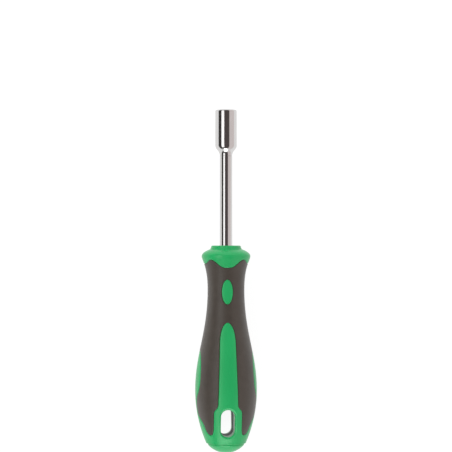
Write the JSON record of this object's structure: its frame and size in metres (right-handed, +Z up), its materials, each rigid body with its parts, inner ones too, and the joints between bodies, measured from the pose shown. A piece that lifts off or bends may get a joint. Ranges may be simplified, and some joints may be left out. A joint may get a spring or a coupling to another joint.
{
  "type": "nut driver",
  "caption": "Nut driver with a chromed hexagon socket on a round blade and a waisted green handle with a dark soft grip and a hanging slot.",
  "frame": {"origin": "under the middle of the tool, on the surface that it lies on", "axes": "+Y along the blade towards the socket, +Z up through the hanging slot, X across the tool"},
  "size_m": [0.034, 0.1894, 0.0341],
  "materials": {
    "chrome": "polished chrome plate",
    "core_plastic": "plain moulded",
    "green_plastic": "satin moulded",
    "soft_grip": "matt soft-touch"
  },
  "bodies": {
    "root": {"socket": "chrome", "blade": "chrome", "handle_core": "core_plastic", "handle_body": "green_plastic", "grip": "soft_grip", "end_cap": "green_plastic"}
  },
  "joints": []
}
